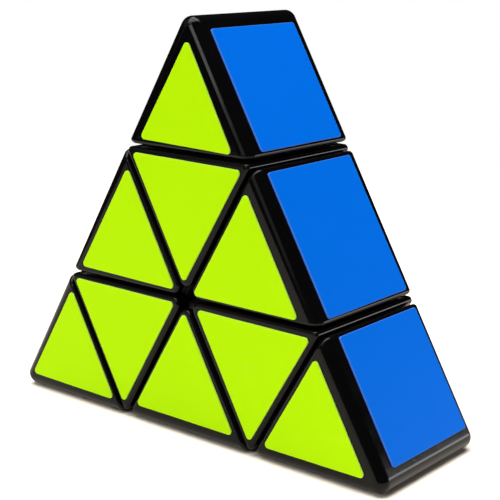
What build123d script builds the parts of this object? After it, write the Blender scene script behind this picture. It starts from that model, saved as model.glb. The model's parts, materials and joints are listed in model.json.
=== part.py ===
from build123d import *
from math import radians, sqrt, tan
import os

# Flat triangular twisty puzzle: nine triangular blocks in one layer, standing on one side.
# Every piece is drawn once in a local frame, with the puzzle's centre at the origin, the
# local Z axis along the top layer's turning axis and Y running from front to back.
# It is then turned about Y, a third of a turn at a time, to each place where it is used.

# Blocks
pitch = 30.0                 # side of one small triangle
block_thickness = 29.4       # front to back, without the stickers
cut_gap = 0.6                # between two neighbouring blocks
wall = 1.5
outer_edge_radius = 2.0      # long edges between the faces and the sides
outer_corner_radius = 2.1    # the three corners of the whole triangle
cut_edge_radius = 0.6        # rims of the blocks along the cuts
hub_corner_radius = 1.5      # block corners that meet at the puzzle's centre
side_corner_radius = 0.8     # corners of the centre blocks that meet a side
plug_clearance = 0.05        # between a shell and the moulding plugged into it

# Stickers
sticker_thickness = 0.3
sticker_cut_margin = 1.15    # from the middle of a cut, on the two faces
sticker_outer_margin = 3.05  # from an outer side, on the two faces
sticker_corner_radius = 0.65
side_sticker_width = 23.7    # front to back
side_sticker_cut_margin = 1.7
side_sticker_end_margin = 5.4
side_sticker_radius = 0.5

# Ball mechanism
core_radius = 8.2
core_flat = 7.7              # distance of the three seats from the centre
run_clearance = 0.3
foot_thickness = 3.3
foot_overlap = 1.7           # how far past the cuts the feet's turning boundaries lie
neck_radius = 4.2
neck_sink = 1.5              # depth by which the neck runs into the foot

# Axis hardware
well_radius = 3.2
well_wall = 1.4
well_floor = 13.6            # height of the floor that the spring presses on
sleeve_radius = 2.3
sleeve_start = 7.9
shank_radius = 1.25
hole_clearance = 0.07
core_hole_end = 2.9
core_screw_end = 3.3
spring_height = 3.6
spring_wire_radius = 0.3
spring_coil_radius = 2.1
spring_turns = 4
washer_radius = 2.9
washer_thickness = 0.6
head_radius = 2.6
head_height = 1.7
slot_width = 0.8
slot_depth = 0.8
cap_thickness = 1.6
boss_radius = 2.9
boss_depth = 3.6
boss_floor = 0.8
spacer_radius = 4.0
end_play = 0.1               # of a tip along its axis

# Worked out from the sizes above
row = pitch * sqrt(3) / 2
side_distance = row - sticker_thickness
half_block = block_thickness / 2
half_gap = cut_gap / 2
cavity_half = half_block - wall
plug_half = cavity_half - plug_clearance
foot_inner_radius = core_radius + run_clearance
foot_outer_radius = foot_inner_radius + foot_thickness
recess_radius = foot_outer_radius + run_clearance
recess_wall_radius = recess_radius + wall
hole_radius = shank_radius + hole_clearance
cap_top = row - half_gap
cap_bottom = cap_top - cap_thickness
tip_bottom = row + half_gap
tip_plate_top = tip_bottom + cap_thickness
boss_bottom = cap_bottom - boss_depth
spring_top = well_floor + spring_height
washer_top = spring_top + washer_thickness
reach = 4 * pitch            # longer than the puzzle in every direction
smooth_angle = 10            # degrees, below which two faces run smoothly together


def triangle(point, base):
    """Corners of a 60 degree triangle centred on Z, with its point and base at two heights."""
    half_base = abs(base - point) * tan(radians(30))
    return [(0, point), (half_base, base), (-half_base, base)]


def prism(points, half_depth, mode=Mode.ADD):
    """A straight block with this outline in the XZ plane, made inside a part's block."""
    with BuildSketch(Plane.XZ) as outline:
        Polygon(*points, align=None)
    extrude(outline.sketch, amount=half_depth, both=True, mode=mode)


def rounded_prism(points, radii, half_depth):
    """A straight block like prism, with each corner of its outline rounded."""
    with BuildSketch(Plane.XZ) as outline:
        Polygon(*points, align=None)
        for (x, z), radius in zip(points, radii):
            corner = outline.vertices().sort_by_distance((x, z, 0))[0]
            fillet(corner, radius)
    extrude(outline.sketch, amount=half_depth, both=True)


def bar(radius, bottom, top, mode=Mode.ADD):
    """A round bar along Z between two heights, made inside a part's block."""
    with BuildSketch(Plane.XY.offset(bottom)) as section:
        Circle(radius)
    extrude(section.sketch, amount=top - bottom, mode=mode)


def make_whole_form():
    """Outer form of the whole puzzle before it is cut into blocks."""
    with BuildPart() as form:
        corners = triangle(2 * side_distance, -side_distance)
        rounded_prism(corners, [outer_corner_radius] * 3, half_block)
        fillet(form.faces().filter_by(Axis.Y).edges(), outer_edge_radius)
    return form.part


def make_form_space():
    """Space inside the outer walls of the whole puzzle."""
    with BuildPart() as space:
        distance = side_distance - wall
        rounded_prism(triangle(2 * distance, -distance), [outer_corner_radius - wall] * 3, cavity_half)
    return space.part


def sharp_edges(part):
    """Edges where two faces meet at an angle, instead of running smoothly into each other."""
    sharp = ShapeList()
    for edge in part.edges():
        neighbours = [face for face in part.faces() if edge in face.edges()]
        first, second = [face.normal_at(edge @ 0.5) for face in neighbours]
        if first.get_angle(second) > smooth_angle:
            sharp.append(edge)
    return sharp


def block(point, base):
    """One solid block: the whole form inside a triangle, with the rims of its cuts rounded."""
    with BuildPart() as solid:
        radii = [hub_corner_radius, side_corner_radius, side_corner_radius]
        rounded_prism(triangle(point, base), radii, half_block)
        add(whole_form, mode=Mode.INTERSECT)
        fillet(sharp_edges(solid.part), cut_edge_radius)
    return solid.part


def screw(end, head_bottom):
    """A slotted screw on the Z axis, pointing towards the core."""
    with BuildPart() as solid:
        bar(shank_radius, end, head_bottom)
        chamfer(solid.edges().sort_by(Axis.Z)[0], slot_depth / 2)
        bar(head_radius, head_bottom, head_bottom + head_height)
        fillet(solid.edges().sort_by(Axis.Z)[-1], head_height / 2)
        with BuildSketch(Plane.XY.offset(head_bottom + head_height)) as slot:
            Rectangle(2 * head_radius, slot_width)
        extrude(slot.sketch, amount=-slot_depth, mode=Mode.SUBTRACT)
    return solid


def face_sticker(corners, side):
    """A thin rounded triangle on the front (side -1) or the back (side 1) of a block."""
    with BuildPart() as label:
        with BuildSketch(Plane.XZ.offset(-side * half_block)) as outline:
            Polygon(*corners, align=None)
            fillet(outline.vertices(), sticker_corner_radius)
        extrude(amount=-side * sticker_thickness)
    return label


def side_sticker(start, end):
    """A thin rounded rectangle on the bottom side, between two distances along X."""
    with BuildPart() as label:
        with BuildSketch(Plane.XY.offset(-side_distance)) as outline:
            with Locations(((start + end) / 2, 0)):
                RectangleRounded(end - start, side_sticker_width, side_sticker_radius)
        extrude(amount=-sticker_thickness)
    return label


def write(piece, name, turn):
    """Turn a piece about the puzzle's centre, stand the puzzle on its side and save it."""
    seat = Location((0, 0, row), (0, turn, 0))
    placed = piece.part.moved(seat)
    placed.label = name
    export_step(placed, f"parts/{name}.step")


whole_form = make_whole_form()
form_space = make_form_space()

# Core: a ball with three flat seats, each with a hole for its axis screw.
with BuildPart() as core:
    Sphere(core_radius)
    for turn in (0, 120, 240):
        seat = Plane((0, 0, 0)).rotated((0, turn, 0)).offset(core_flat)
        with BuildSketch(seat):
            Circle(core_radius)
        extrude(amount=core_radius, mode=Mode.SUBTRACT)
        with BuildSketch(seat):
            Circle(shank_radius + plug_clearance)
        extrude(amount=core_hole_end - core_flat, mode=Mode.SUBTRACT)

# Centre block, under each tip: a shell on a sleeve that turns on the core screw. The screw's
# spring and head sit in a well, and a cap closes the end that faces the tip.
with BuildPart() as centre_space:
    prism(triangle(2 * (half_gap + wall), row), cavity_half)
    Sphere(recess_wall_radius, mode=Mode.SUBTRACT)
    bar(well_radius + well_wall, 0, cap_bottom - plug_clearance, mode=Mode.SUBTRACT)

with BuildPart() as centre_shell:
    add(block(2 * half_gap, cap_top))
    Sphere(recess_radius, mode=Mode.SUBTRACT)
    add(centre_space, mode=Mode.SUBTRACT)
    bar(well_radius, well_floor, row, mode=Mode.SUBTRACT)
    bar(sleeve_radius, sleeve_start, well_floor)
    bar(hole_radius, 0, row, mode=Mode.SUBTRACT)

with BuildPart() as centre_cap:
    prism(triangle(2 * (half_gap + wall + plug_clearance), cap_top), plug_half)
    bar(reach, cap_bottom - reach, cap_bottom, mode=Mode.SUBTRACT)
    bar(boss_radius, boss_bottom, cap_bottom)
    bar(shank_radius + plug_clearance, boss_bottom + boss_floor, cap_top, mode=Mode.SUBTRACT)

# Axis hardware, from the core outwards.
core_screw = screw(core_screw_end, washer_top)
tip_screw = screw(boss_bottom + boss_floor + plug_clearance, tip_plate_top + end_play)

with BuildPart() as core_spring:
    coil_start = well_floor + spring_wire_radius + plug_clearance
    coil_height = spring_height - 2 * (spring_wire_radius + plug_clearance)
    with BuildLine(Plane.XY.offset(coil_start)) as coil:
        Helix(coil_height / spring_turns, coil_height, spring_coil_radius)
    with BuildSketch(Plane(coil.line @ 0, z_dir=coil.line % 0)):
        Circle(spring_wire_radius)
    sweep(path=coil.line, is_frenet=True)

with BuildPart() as core_washer:
    bar(washer_radius, spring_top, washer_top)
    bar(hole_radius, spring_top, washer_top, mode=Mode.SUBTRACT)

# Tip: a shell over a base plate that turns on the tip screw, held off the cap by a spacer.
with BuildPart() as tip_shell:
    add(block(reach, tip_bottom))
    add(form_space, mode=Mode.SUBTRACT)

with BuildPart() as tip_base:
    distance = side_distance - wall - plug_clearance
    prism(triangle(2 * distance, tip_bottom), plug_half)
    bar(reach, tip_plate_top, reach, mode=Mode.SUBTRACT)
    bar(spacer_radius, cap_top + end_play, tip_bottom)
    bar(hole_radius, 0, tip_plate_top, mode=Mode.SUBTRACT)

# Edge block, in the middle of each side: a shell over a liner that carries the foot.
with BuildPart() as edge_shell:
    add(block(-2 * half_gap, -reach))
    prism(triangle(reach, -side_distance + wall), cavity_half, mode=Mode.SUBTRACT)

with BuildPart() as edge_space:
    prism(triangle(-2 * (half_gap + wall), -reach), half_block)
    Sphere(recess_wall_radius, mode=Mode.SUBTRACT)

# The foot is a piece of a hollow ball between three flat boundaries, one square to each axis.
with BuildPart() as edge_foot:
    Sphere(foot_outer_radius)
    Sphere(foot_inner_radius, mode=Mode.SUBTRACT)
    lip = foot_overlap - run_clearance / 2
    prism(triangle(2 * lip, -reach), reach, mode=Mode.INTERSECT)
    bar(reach, -foot_overlap - run_clearance / 2, reach, mode=Mode.SUBTRACT)

with BuildPart() as edge_liner:
    liner_end = -side_distance + wall + plug_clearance
    prism(triangle(-2 * half_gap, liner_end), plug_half)
    fillet(edge_liner.edges().sort_by(Axis.Z)[-1], hub_corner_radius)
    add(edge_space, mode=Mode.SUBTRACT)
    Sphere(recess_radius, mode=Mode.SUBTRACT)
    bar(neck_radius, liner_end, -foot_outer_radius + neck_sink)
    add(edge_foot)

# Stickers on the two faces, one for each kind of block, and on one side.
inset = sticker_outer_margin
tip_corners = triangle(2 * (row - inset), row + sticker_cut_margin)
centre_corners = triangle(2 * sticker_cut_margin, row - sticker_cut_margin)
edge_corners = triangle(-2 * sticker_cut_margin, -row + inset)
edge_end = pitch / 2 - side_sticker_cut_margin
side_start = pitch / 2 + side_sticker_cut_margin
side_end = 3 * pitch / 2 - side_sticker_end_margin

pieces_on_axis = {
    "centre_shell": centre_shell,
    "centre_cap": centre_cap,
    "core_screw": core_screw,
    "core_spring": core_spring,
    "core_washer": core_washer,
    "tip_shell": tip_shell,
    "tip_base": tip_base,
    "tip_screw": tip_screw,
    "tip_front_sticker": face_sticker(tip_corners, -1),
    "tip_back_sticker": face_sticker(tip_corners, 1),
    "centre_front_sticker": face_sticker(centre_corners, -1),
    "centre_back_sticker": face_sticker(centre_corners, 1),
}
pieces_at_side = {
    "edge_shell": edge_shell,
    "edge_liner": edge_liner,
    "edge_front_sticker": face_sticker(edge_corners, -1),
    "edge_back_sticker": face_sticker(edge_corners, 1),
    "edge_side_sticker": side_sticker(-edge_end, edge_end),
}

os.makedirs("parts", exist_ok=True)
write(core, "core", 0)
for place, turn in (("top", 0), ("right", 120), ("left", -120)):
    for name, piece in pieces_on_axis.items():
        write(piece, f"{name}_{place}", turn)

# Each side is the bottom side turned, with a tip at each of its ends.
sides = (("bottom", 0, "right", "left"), ("left", 120, "left", "top"), ("right", -120, "top", "right"))
for place, turn, tip_after, tip_before in sides:
    for name, piece in pieces_at_side.items():
        write(piece, f"{name}_{place}", turn)
    write(side_sticker(side_start, side_end), f"tip_side_sticker_{place}_{tip_after}", turn)
    write(side_sticker(-side_end, -side_start), f"tip_side_sticker_{place}_{tip_before}", turn)
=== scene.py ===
import json
import random
from math import cos, pi, radians, sin, sqrt, tan

import bmesh
import bpy
from mathutils import Matrix, Vector, noise


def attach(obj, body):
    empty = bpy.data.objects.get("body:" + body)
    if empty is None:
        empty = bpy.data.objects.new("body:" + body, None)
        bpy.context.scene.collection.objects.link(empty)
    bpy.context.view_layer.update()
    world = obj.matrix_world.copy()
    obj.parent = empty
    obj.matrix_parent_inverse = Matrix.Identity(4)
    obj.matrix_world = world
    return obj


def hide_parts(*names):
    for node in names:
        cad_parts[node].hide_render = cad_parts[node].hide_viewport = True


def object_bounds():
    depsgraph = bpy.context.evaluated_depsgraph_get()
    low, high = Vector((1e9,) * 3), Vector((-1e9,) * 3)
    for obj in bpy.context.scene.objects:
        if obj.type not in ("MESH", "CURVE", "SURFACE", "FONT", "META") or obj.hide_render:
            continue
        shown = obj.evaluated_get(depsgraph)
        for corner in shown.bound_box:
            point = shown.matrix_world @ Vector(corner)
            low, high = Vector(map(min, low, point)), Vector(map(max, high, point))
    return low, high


# Flat triangular twisty puzzle in a plain studio. The black blocks and the mechanism are the
# CAD nodes with procedural materials; each sticker is a cut piece of vinyl film of its own.
# All sizes are in metres.

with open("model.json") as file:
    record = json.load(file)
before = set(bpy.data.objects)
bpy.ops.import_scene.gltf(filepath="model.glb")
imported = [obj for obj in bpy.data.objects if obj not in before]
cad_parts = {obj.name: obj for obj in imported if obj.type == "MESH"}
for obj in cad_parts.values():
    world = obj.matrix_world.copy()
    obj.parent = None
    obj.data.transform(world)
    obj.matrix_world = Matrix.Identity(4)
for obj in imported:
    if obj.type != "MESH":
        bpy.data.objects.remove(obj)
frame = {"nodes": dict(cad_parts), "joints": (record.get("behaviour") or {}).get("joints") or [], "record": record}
cad_low, cad_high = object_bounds()
MM = 0.001
noise.seed_set(1)              # without it noise_vector is seeded by the clock

# Camera: where it looks, how it stands, and its lens
TARGET = Vector((0.00078, 0.00247, 0.03181))
DISTANCE = 0.24167
AZIMUTH = 38.93
ELEVATION = 13.785
ROLL = 0.764
FIELD_OF_VIEW = 21.69
CLIP_START = 10 * MM

# Puzzle: the joints of the three layers meet at its centre
CENTRE = Vector(frame["joints"][0]["pos_m"])
ROW = CENTRE.z
PITCH = 2 * ROW / sqrt(3)
HALF_DEPTH = (cad_high.y - cad_low.y) / 2

# Material slot of each CAD node
SLOT_OF = {part["node"]: part["material_slot"] for part in frame["record"]["subparts"]}

# Sticker film: its thickness, and the black margins and corners of each kind of sticker
FILM = 0.3 * MM
CUT_MARGIN = 1.15 * MM
OUTER_MARGIN = 3.05 * MM
FACE_CORNER = 0.65 * MM
SIDE_WIDTH = 23.7 * MM
SIDE_CUT_MARGIN = 1.7 * MM
SIDE_END_MARGIN = 5.4 * MM
SIDE_CORNER = 0.5 * MM

# Cut edge of the film, its bevel, and its not quite flat face
CORNER_STEPS = 8
EDGE_STEP = 1.2 * MM           # between two points of a cut edge
EDGE_WOBBLE = 0.025 * MM       # how far a cut edge wanders
EDGE_WAVE = 140                # waves of that per metre
BEVEL = 0.09 * MM
BEVEL_STEPS = 3
FACE_START = 0.12 * MM         # from the cut edge to where the printed face begins
FLAT_RINGS = (0.92, 0.75, 0.5, 0.25)   # rings of the face, as shares of the outline
FILM_SAG = 0.02 * MM           # how far the film sinks where the glue is thin
FILM_WAVE = 110                # waves of that per metre
SHARP_ANGLE = 50               # degrees: the foot of the cut edge is a sharp edge

# Turn of each place about the puzzle's centre, clockwise from the front
PLACE_TURNS = {"top": 0, "right": 120, "left": -120}
SIDE_TURNS = {"bottom": 0, "left": 120, "right": -120}
SIDE_TIPS = {"bottom": ("right", "left"), "left": ("left", "top"), "right": ("top", "right")}

# How crookedly each sticker was put on: right and up in mm, turn in degrees, width and height
HAND_APPLIED = {
    "tip_front_sticker_top": (0.2, -0.11, -1.4, 0.982, 0.982),
    "tip_front_sticker_left": (-0.08, 0.11, -0.7, 1.038, 1.038),
    "tip_front_sticker_right": (-0.03, -0.2, 0.0, 0.986, 0.986),
    "centre_front_sticker_top": (0.03, 0.03, -0.6, 0.973, 0.973),
    "centre_front_sticker_left": (-0.1, 0.17, -0.25, 0.98, 0.98),
    "centre_front_sticker_right": (0.2, -0.08, -0.4, 0.96, 0.96),
    "edge_front_sticker_left": (-0.05, 0.2, -0.85, 0.993, 0.993),
    "edge_front_sticker_right": (-0.31, -0.36, -0.15, 0.975, 0.975),
    "edge_front_sticker_bottom": (-0.19, 0.04, -0.3, 0.988, 0.988),
    "tip_side_sticker_right_top": (0.33, -0.05, 0.2, 0.972, 0.995),
    "edge_side_sticker_right": (0.15, -0.13, 0.4, 1.005, 0.99),
    "tip_side_sticker_right_right": (0.72, -0.06, 0.2, 0.984, 1.008),
}
UNSEEN_SHIFT = 0.2             # mm: how far off the other stickers are at most
UNSEEN_TURN = 0.6              # degrees
SIDE_SEED = 30                 # the seeds below it belong to the front and back stickers

# Colours that no slot gives
FILM_DEPTH = 0.66              # share of its swatch's brightness that the printed film keeps
FILM_SHADE = 0.965             # and how dark its mottling goes
CUT_GREY, CUT_SHARE = 0.55, 0.25       # grey mixed into the film's scratches and cut edge
BLACK_LOW = (0.0008, 0.0008, 0.0010)
BLACK_HIGH = (0.0018, 0.0018, 0.0022)
WORN_BLACK = (0.020, 0.020, 0.021)
DUST = (0.05, 0.05, 0.052)
RUBBED_GREY = (0.075, 0.075, 0.078)
STAIN = (0.26, 0.23, 0.19)
FLOOR_COLOUR = (0.95, 0.86, 0.75)
ROOM_COLOUR = (1.0, 0.93, 0.85)

# Studio
FLOOR_RADIUS = 0.30
FLOOR_SIDES = 128
ROOM_GLOW = 0.015
EDGE_ARC = (0.29, 0.20, 0.16)  # along the arc that the front right rounding mirrors

# Softboxes: size, power in watts, place, what they face, and which way their width runs
LIGHTS = {
    "overhead": ((0.40, 0.40), 4.0, (0.0, 0.0, 0.50), CENTRE, (1, 0, 0)),
    "over_back": ((0.25, 0.25), 0.7, (0.15, 0.20, 0.50), (0.08, 0.10, 0.0), (1, 0, 0)),
    "over_front": ((0.30, 0.30), 1.75, (-0.05, -0.28, 0.48), (0.0, -0.05, 0.0), (1, 0, 0)),
    "front_wall": ((0.60, 0.60), 0.5, (-0.30, -0.36, 0.36), CENTRE, (1, 0, 0)),
    "edge_high": ((0.28, 0.10), 0.75, (0.08, -0.52, 0.30), CENTRE, EDGE_ARC),
    "edge_low": ((0.28, 0.11), 0.12, (0.135, -0.52, 0.205), CENTRE, EDGE_ARC),
    "low_card": ((0.36, 0.098), 0.95, (0.30, 0.36, 0.049), (0.0, 0.36, 0.049), (0, 1, 0)),
}


# --- sticker outlines -------------------------------------------------------------------

def triangle(point, base):
    """Corners of a 60 degree triangle with its point and base at two heights."""
    half_base = abs(base - point) * tan(radians(30))
    return [Vector((0, point)), Vector((half_base, base)), Vector((-half_base, base))]


def rectangle(start, end, width):
    """Corners of a rectangle between two distances along a side."""
    half = width / 2
    places = ((-half, start), (half, start), (half, end), (-half, end))
    return [Vector(place) for place in places]


def turned(corners, turn):
    """The corners turned clockwise about the origin."""
    return [Matrix.Rotation(radians(-turn), 2) @ corner for corner in corners]


def anticlockwise(corners):
    """The corners in anticlockwise order."""
    area = sum(a.cross(b) for a, b in zip(corners, corners[1:] + corners[:1]))
    return corners if area > 0 else corners[::-1]


def hand_placed(corners, shift_x, shift_y, turn, wide, high):
    """The corners as a hand puts them on: turned and sized about their middle, then moved."""
    middle = sum(corners, Vector((0, 0))) / len(corners)
    spin = Matrix.Rotation(radians(turn), 2)
    shift = Vector((shift_x, shift_y)) * MM
    size = Matrix(((wide, 0), (0, high)))
    return [middle + shift + spin @ size @ (corner - middle) for corner in corners]


def rounded_outline(corners, radius):
    """Points round the outline: an arc at each corner and evenly spaced points between."""
    points = []
    count = len(corners)
    for index, corner in enumerate(corners):
        before = (corners[index - 1] - corner).normalized()
        after = (corners[(index + 1) % count] - corner).normalized()
        half_angle = before.angle(after) / 2
        middle = corner + (before + after).normalized() * radius / sin(half_angle)
        start = corner + before * radius / tan(half_angle) - middle
        sweep = pi - 2 * half_angle
        for step in range(CORNER_STEPS + 1):
            points.append(middle + Matrix.Rotation(sweep * step / CORNER_STEPS, 2) @ start)
        following = corners[(index + 1) % count]
        next_after = (corners[(index + 2) % count] - following).normalized()
        next_half = (corner - following).angle(next_after) / 2
        run_end = following - after * radius / tan(next_half)
        run = run_end - points[-1]
        steps = max(1, round(run.length / EDGE_STEP))
        run_start = points[-1]
        points += [run_start + run * step / steps for step in range(1, steps)]
    return points


def wandering(points, seed):
    """The outline as a knife leaves it, a little off the straight."""
    moved = []
    for point in points:
        place = Vector((point.x * EDGE_WAVE, point.y * EDGE_WAVE, seed))
        off = noise.noise_vector(place)
        moved.append(point + Vector((off.x, off.y)) * EDGE_WOBBLE)
    return moved


# --- sticker solids ---------------------------------------------------------------------

def rings_of(points):
    """Loops of points from the glued edge, up over the bevel and in to the middle."""
    count = len(points)
    middle = sum(points, Vector((0, 0))) / count
    inward = []
    for index in range(count):
        along = points[(index + 1) % count] - points[index - 1]
        inward.append(Vector((-along.y, along.x)).normalized())
    rings = [[(point, 0) for point in points]]
    for step in range(BEVEL_STEPS + 1):
        angle = pi / 2 * step / BEVEL_STEPS
        inset = BEVEL * (1 - cos(angle))
        height = FILM - BEVEL * (1 - sin(angle))
        rings.append([(point + way * inset, height) for point, way in zip(points, inward)])
    rings.append([(point + way * FACE_START, FILM) for point, way in zip(points, inward)])
    for share in FLAT_RINGS:
        rings.append([(middle + (point - middle) * share, FILM) for point in points])
    return rings, middle


def film_height(point, height, seed):
    """Height of a point of the film, which sinks a little where the glue is thin."""
    if height < FILM:
        return height
    dip = noise.noise(Vector((point.x * FILM_WAVE, point.y * FILM_WAVE, seed)))
    return height - FILM_SAG * max(0, dip)


def sticker_mesh(name, points, plane, seed):
    """A closed film with bevelled edges on a plane: its origin, across, up and out."""
    origin, across, up, out = plane
    rings, middle = rings_of(points)
    mesh = bmesh.new()
    rim = mesh.verts.layers.float.new("rim")
    loops = []
    for number, ring in enumerate(rings):
        loop = []
        for point, height in ring:
            rise = film_height(point, height, seed)
            vert = mesh.verts.new(origin + across * point.x + up * point.y + out * rise)
            vert[rim] = 1.0 if number <= BEVEL_STEPS else 0.0
            loop.append(vert)
        loops.append(loop)
    top = mesh.verts.new(origin + across * middle.x + up * middle.y + out * FILM)
    count = len(points)
    for low, high in zip(loops, loops[1:]):
        for index in range(count):
            after = (index + 1) % count
            mesh.faces.new((low[index], low[after], high[after], high[index]))
    for index in range(count):
        mesh.faces.new((loops[-1][index], loops[-1][(index + 1) % count], top))
    mesh.faces.new(loops[0][::-1])
    data = bpy.data.meshes.new(name)
    mesh.to_mesh(data)
    mesh.free()
    data.shade_smooth()
    data.set_sharp_from_angle(angle=radians(SHARP_ANGLE))
    return data


def add_sticker(node, body, corners, radius, plane, seed):
    """One sticker in the place of its CAD node."""
    fallback = random.Random(seed)
    unseen = [fallback.uniform(-UNSEEN_SHIFT, UNSEEN_SHIFT) for _ in range(2)]
    unseen += [fallback.uniform(-UNSEEN_TURN, UNSEEN_TURN), 1.0, 1.0]
    placed = hand_placed(anticlockwise(corners), *HAND_APPLIED.get(node, unseen))
    points = wandering(rounded_outline(placed, radius), seed)
    piece = bpy.data.objects.new(node + "_film", sticker_mesh(node, points, plane, seed))
    bpy.context.scene.collection.objects.link(piece)
    slot = SLOT_OF[node]
    piece.data.materials.append(materials[slot])
    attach(piece, body)
    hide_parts(node)


def add_face_stickers():
    """Nine stickers on the front and nine on the back."""
    shapes = {
        "tip": (triangle(2 * (ROW - OUTER_MARGIN), ROW + CUT_MARGIN), PLACE_TURNS),
        "centre": (triangle(2 * CUT_MARGIN, ROW - CUT_MARGIN), PLACE_TURNS),
        "edge": (triangle(-2 * CUT_MARGIN, -ROW + OUTER_MARGIN), SIDE_TURNS),
    }
    places = [(kind, place, turned_by) for kind, (_, turns) in shapes.items()
              for place, turned_by in turns.items()]
    for face, (side, out) in enumerate((("front", -1), ("back", 1))):
        origin = CENTRE + Vector((0, out * (HALF_DEPTH - FILM), 0))
        across = Vector((-out, 0, 0))
        plane = (origin, across, Vector((0, 0, 1)), Vector((0, out, 0)))
        for number, (kind, place, turned_by) in enumerate(places, 1):
            corners = turned(shapes[kind][0], -out * turned_by)
            node, seed = f"{kind}_{side}_sticker_{place}", 2 * number + face
            add_sticker(node, f"{kind}_{place}", corners, FACE_CORNER, plane, seed)


def add_side_stickers():
    """Three stickers on each of the three sides."""
    edge_end = PITCH / 2 - SIDE_CUT_MARGIN
    start, end = PITCH / 2 + SIDE_CUT_MARGIN, 3 * PITCH / 2 - SIDE_END_MARGIN
    for number, (side, turn) in enumerate(SIDE_TURNS.items()):
        spin = Matrix.Rotation(radians(turn), 3, "Y")
        out, up = spin @ Vector((0, 0, -1)), spin @ Vector((1, 0, 0))
        plane = (CENTRE + out * (ROW - FILM), Vector((0, 1, 0)), up, out)
        after, before = SIDE_TIPS[side]
        stickers = (
            (f"edge_side_sticker_{side}", f"edge_{side}", -edge_end, edge_end),
            (f"tip_side_sticker_{side}_{after}", f"tip_{after}", start, end),
            (f"tip_side_sticker_{side}_{before}", f"tip_{before}", -end, -start),
        )
        for step, (node, body, low, high) in enumerate(stickers):
            corners = rectangle(low, high, SIDE_WIDTH)
            seed = SIDE_SEED + len(stickers) * number + step
            add_sticker(node, body, corners, SIDE_CORNER, plane, seed)


# --- materials --------------------------------------------------------------------------

class Shader:
    """A Principled material whose nodes are made and linked by short calls."""

    def __init__(self, name):
        self.material = bpy.data.materials.new(name)
        self.material.use_nodes = True
        self.tree = self.material.node_tree
        self.surface = self.tree.nodes["Principled BSDF"]
        self.place = self.tree.nodes.new("ShaderNodeTexCoord").outputs["Object"]

    def set(self, **values):
        """Uniform values of the surface, by socket name with _ for a space."""
        for name, value in values.items():
            self.surface.inputs[name.replace("_", " ")].default_value = value

    def link(self, output, socket):
        """Drives a socket of the surface."""
        self.tree.links.new(output, self.surface.inputs[socket])

    def stretched(self, scale):
        """Object coordinates scaled along each axis: a small scale draws marks out along it."""
        node = self.tree.nodes.new("ShaderNodeMapping")
        node.inputs["Scale"].default_value = scale
        self.tree.links.new(self.place, node.inputs["Vector"])
        return node.outputs["Vector"]

    def noise(self, scale, detail=2.0, roughness=0.5, vector=None):
        """Cloudy noise from 0 to 1, its scale in waves per metre."""
        node = self.tree.nodes.new("ShaderNodeTexNoise")
        node.inputs["Scale"].default_value = scale
        node.inputs["Detail"].default_value = detail
        node.inputs["Roughness"].default_value = roughness
        self.tree.links.new(vector or self.place, node.inputs["Vector"])
        return node.outputs["Fac"]

    def specks(self, scale, size):
        """Small round marks with soft edges, 1 inside and 0 outside, one to a cell."""
        node = self.tree.nodes.new("ShaderNodeTexVoronoi")
        node.inputs["Scale"].default_value = scale
        self.tree.links.new(self.place, node.inputs["Vector"])
        return self.remap(node.outputs["Distance"], (size, size * 0.6))

    def remap(self, value, span, result=(0, 1)):
        """The value with its span stretched to the result, and held at its ends."""
        node = self.tree.nodes.new("ShaderNodeMapRange")
        names = ("From Min", "From Max", "To Min", "To Max")
        for name, number in zip(names, (*span, *result)):
            node.inputs[name].default_value = number
        self.tree.links.new(value, node.inputs["Value"])
        return node.outputs["Result"]

    def math(self, operation, first, second):
        """One step of arithmetic on two values, each a number or another node's output."""
        node = self.tree.nodes.new("ShaderNodeMath")
        node.operation = operation
        for socket, value in zip(node.inputs, (first, second)):
            if isinstance(value, (int, float)):
                socket.default_value = value
            else:
                self.tree.links.new(value, socket)
        return node.outputs["Value"]

    def times(self, first, second):
        """The product of two such values."""
        return self.math("MULTIPLY", first, second)

    def mix(self, factor, first, second):
        """Colour from first to second, each a colour or another node's output."""
        node = self.tree.nodes.new("ShaderNodeMix")
        node.data_type = "RGBA"
        self.tree.links.new(factor, node.inputs["Factor"])
        for name, value in (("A", first), ("B", second)):
            socket = next(s for s in node.inputs if s.name == name and s.type == "RGBA")
            if isinstance(value, tuple):
                socket.default_value = (*value, 1)
            else:
                self.tree.links.new(value, socket)
        return next(s for s in node.outputs if s.type == "RGBA")

    def rim(self):
        """1 on the cut edge and bevel of a sticker, 0 on its face."""
        node = self.tree.nodes.new("ShaderNodeAttribute")
        node.attribute_name = "rim"
        return node.outputs["Fac"]

    def rounded_edges(self, radius):
        """1 where the surface turns within this radius, 0 on flat faces."""
        flat, turning = 0.995, 0.95    # cosines between the true and the rounded normal
        bevel = self.tree.nodes.new("ShaderNodeBevel")
        bevel.samples = 4
        bevel.inputs["Radius"].default_value = radius
        geometry = self.tree.nodes.new("ShaderNodeNewGeometry")
        dot = self.tree.nodes.new("ShaderNodeVectorMath")
        dot.operation = "DOT_PRODUCT"
        self.tree.links.new(bevel.outputs["Normal"], dot.inputs[0])
        self.tree.links.new(geometry.outputs["Normal"], dot.inputs[1])
        return self.remap(dot.outputs["Value"], (flat, turning))

    def bump(self, height, depth):
        """Relief of the height from 0 to 1, with its depth in metres."""
        node = self.tree.nodes.new("ShaderNodeBump")
        node.inputs["Strength"].default_value = 1.0
        node.inputs["Distance"].default_value = depth
        self.tree.links.new(height, node.inputs["Height"])
        self.link(node.outputs["Normal"], "Normal")


def scaled(colour, share):
    """The colour made darker or lighter, and not past white."""
    return tuple(min(1, share * channel) for channel in colour)


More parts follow.
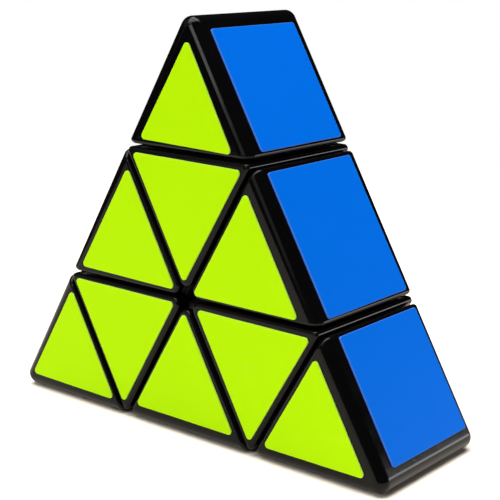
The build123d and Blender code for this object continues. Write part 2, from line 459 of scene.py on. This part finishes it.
def black_plastic(name):
    """Glossy black moulding: slight mould grain, fine scuffs, dust and worn rims."""
    s = Shader(name)
    s.set(IOR=1.45, Specular_IOR_Level=0.13)
    cloud = s.noise(scale=70, detail=3)
    scuff = s.noise(scale=260, detail=4, roughness=0.65, vector=s.stretched((1, 0.25, 1)))
    hairline = s.noise(scale=900, detail=1, vector=s.stretched((0.06, 1, 1)))
    hairline = s.remap(hairline, (0.66, 0.72))
    dust = s.times(s.specks(scale=520, size=0.07), s.remap(cloud, (0.5, 0.7)))
    wear = s.times(s.rounded_edges(0.4 * MM), s.remap(scuff, (0.5, 0.75)))
    base = s.mix(cloud, BLACK_LOW, BLACK_HIGH)
    base = s.mix(s.times(wear, 0.5), base, WORN_BLACK)
    s.link(s.mix(s.times(dust, 0.5), base, DUST), "Base Color")
    rough = s.remap(scuff, (0.3, 0.75), (0.08, 0.16))
    rough = s.math("ADD", rough, s.times(hairline, 0.06))
    s.link(s.math("ADD", rough, s.times(wear, 0.15)), "Roughness")
    grain = s.noise(scale=2600, detail=2)
    s.bump(s.math("SUBTRACT", s.times(grain, 0.5), s.times(hairline, 0.3)), 0.0025 * MM)
    return s.material


def inner_plastic(name, colour):
    """Matte dark moulding inside the blocks: spark-eroded grain and rubbing marks."""
    s = Shader(name)
    s.set(IOR=1.48, Specular_IOR_Level=0.35)
    cloud = s.noise(scale=120, detail=3)
    rub = s.noise(scale=300, detail=3, vector=s.stretched((1, 1, 0.15)))
    rub = s.remap(rub, (0.55, 0.75))
    base = s.mix(cloud, scaled(colour, 0.7), scaled(colour, 1.15))
    s.link(s.mix(s.times(rub, 0.35), base, RUBBED_GREY), "Base Color")
    rough = s.remap(cloud, (0.3, 0.7), (0.5, 0.62))
    s.link(s.math("SUBTRACT", rough, s.times(rub, 0.18)), "Roughness")
    s.bump(s.noise(scale=1500, detail=3, roughness=0.7), 0.012 * MM)
    return s.material


def screw_steel(name, colour):
    """Zinc plated steel: turned lines, a mottled plating and small stains."""
    s = Shader(name)
    s.set(Metallic=1.0)
    mottle = s.noise(scale=500, detail=3)
    lines = s.noise(scale=3500, detail=1, vector=s.stretched((0.05, 0.05, 1)))
    stain = s.remap(s.noise(scale=180, detail=4), (0.58, 0.75))
    base = s.mix(mottle, scaled(colour, 0.8), scaled(colour, 1.15))
    s.link(s.mix(s.times(stain, 0.5), base, STAIN), "Base Color")
    rough = s.remap(lines, (0.3, 0.7), (0.2, 0.34))
    s.link(s.math("ADD", rough, s.times(stain, 0.2)), "Roughness")
    s.bump(lines, 0.006 * MM)
    return s.material


def vinyl(name, swatch):
    """Satin vinyl film: faint mottling, fine calendered grain, scuffs and a paler cut edge."""
    s = Shader(name)
    s.set(IOR=1.45, Specular_IOR_Level=0.02)
    colour = scaled(swatch, FILM_DEPTH)
    pale = tuple((1 - CUT_SHARE) * channel + CUT_SHARE * CUT_GREY for channel in colour)
    cloud = s.noise(scale=90, detail=3)
    scuff = s.noise(scale=420, detail=4, roughness=0.7, vector=s.stretched((1, 0.3, 1)))
    scratch = s.noise(scale=1700, detail=1, vector=s.stretched((0.05, 1, 0.5)))
    scratch = s.remap(scratch, (0.72, 0.77))
    base = s.mix(cloud, scaled(colour, FILM_SHADE), colour)
    base = s.mix(s.times(scratch, 0.04), base, pale)
    s.link(s.mix(s.times(s.rim(), 0.35), base, pale), "Base Color")
    rough = s.remap(scuff, (0.3, 0.7), (0.38, 0.5))
    s.link(s.math("SUBTRACT", rough, s.times(scratch, 0.08)), "Roughness")
    grain = s.math("ADD", s.noise(scale=3000, detail=2), s.times(cloud, 2.0))
    s.bump(grain, 0.003 * MM)
    return s.material


def make_materials():
    """One material for each slot of the record. The blocks' black is darker than its swatch."""
    makers = {"inner_plastic": inner_plastic, "screw_steel": screw_steel}
    made = {}
    for entry in frame["record"]["materials"]:
        slot, swatch = entry["slot"], tuple(entry["base_color"][:3])
        if slot == "black_plastic":
            made[slot] = black_plastic(slot)
        else:
            made[slot] = makers.get(slot, vinyl)(slot, swatch)
    return made


def dress_cad_nodes():
    """Gives each CAD node its slot's material."""
    for node, slot in SLOT_OF.items():
        mesh = frame["nodes"][node].data
        mesh.materials.clear()
        mesh.materials.append(materials[slot])


# --- studio -----------------------------------------------------------------------------

def add_camera():
    """The camera, from what it looks at, its distance, its angles and its lens."""
    azimuth, elevation = radians(AZIMUTH), radians(ELEVATION)
    level = cos(elevation)
    forward = Vector((-sin(azimuth) * level, cos(azimuth) * level, -sin(elevation)))
    right = forward.cross(Vector((0, 0, 1))).normalized()
    up = right.cross(forward)
    roll = Matrix.Rotation(radians(-ROLL), 3, forward)
    right, up = roll @ right, roll @ up
    data = bpy.data.cameras.new("camera")
    data.angle = radians(FIELD_OF_VIEW)
    data.clip_start = CLIP_START
    camera = bpy.data.objects.new("camera", data)
    axes = Matrix((right, up, -forward)).transposed().to_4x4()
    camera.matrix_world = Matrix.Translation(TARGET - forward * DISTANCE) @ axes
    bpy.context.scene.collection.objects.link(camera)
    bpy.context.scene.camera = camera


def add_softbox(name, size, power, position, aim, along):
    """A rectangle of light that faces a point, with its width along a direction."""
    data = bpy.data.lights.new(name, "AREA")
    data.shape = "RECTANGLE"
    data.size, data.size_y = size
    data.energy = power
    lamp = bpy.data.objects.new(name, data)
    back = (Vector(position) - Vector(aim)).normalized()
    across = (Vector(along) - back * back.dot(Vector(along))).normalized()
    axes = Matrix((across, back.cross(across), back)).transposed().to_4x4()
    lamp.matrix_world = Matrix.Translation(Vector(position)) @ axes
    bpy.context.scene.collection.objects.link(lamp)


def add_floor():
    """A round pale board under the puzzle."""
    bpy.ops.mesh.primitive_circle_add(vertices=FLOOR_SIDES, radius=FLOOR_RADIUS, fill_type="NGON")
    floor = bpy.context.object
    floor.name = "floor"
    s = Shader("floor")
    s.set(Roughness=0.9, Specular_IOR_Level=0.1)
    s.link(s.mix(s.noise(scale=8), FLOOR_COLOUR, scaled(FLOOR_COLOUR, 1.02)), "Base Color")
    floor.data.materials.append(s.material)


def add_room():
    """White to look at, and a dim warm glow to be lit and mirrored by."""
    world = bpy.data.worlds.new("studio")
    world.use_nodes = True
    nodes, links = world.node_tree.nodes, world.node_tree.links
    glow = nodes["Background"]
    glow.inputs["Color"].default_value = (*ROOM_COLOUR, 1)
    glow.inputs["Strength"].default_value = ROOM_GLOW
    backdrop = nodes.new("ShaderNodeBackground")
    backdrop.inputs["Color"].default_value = (1, 1, 1, 1)
    mixer = nodes.new("ShaderNodeMixShader")
    links.new(nodes.new("ShaderNodeLightPath").outputs["Is Camera Ray"], mixer.inputs[0])
    links.new(glow.outputs[0], mixer.inputs[1])
    links.new(backdrop.outputs[0], mixer.inputs[2])
    links.new(mixer.outputs[0], nodes["World Output"].inputs["Surface"])
    bpy.context.scene.world = world


materials = make_materials()
dress_cad_nodes()
add_face_stickers()
add_side_stickers()
add_camera()
add_floor()
add_room()
for lamp_name, settings in LIGHTS.items():
    add_softbox(lamp_name, *settings)
bpy.context.scene.view_settings.view_transform = "Standard"
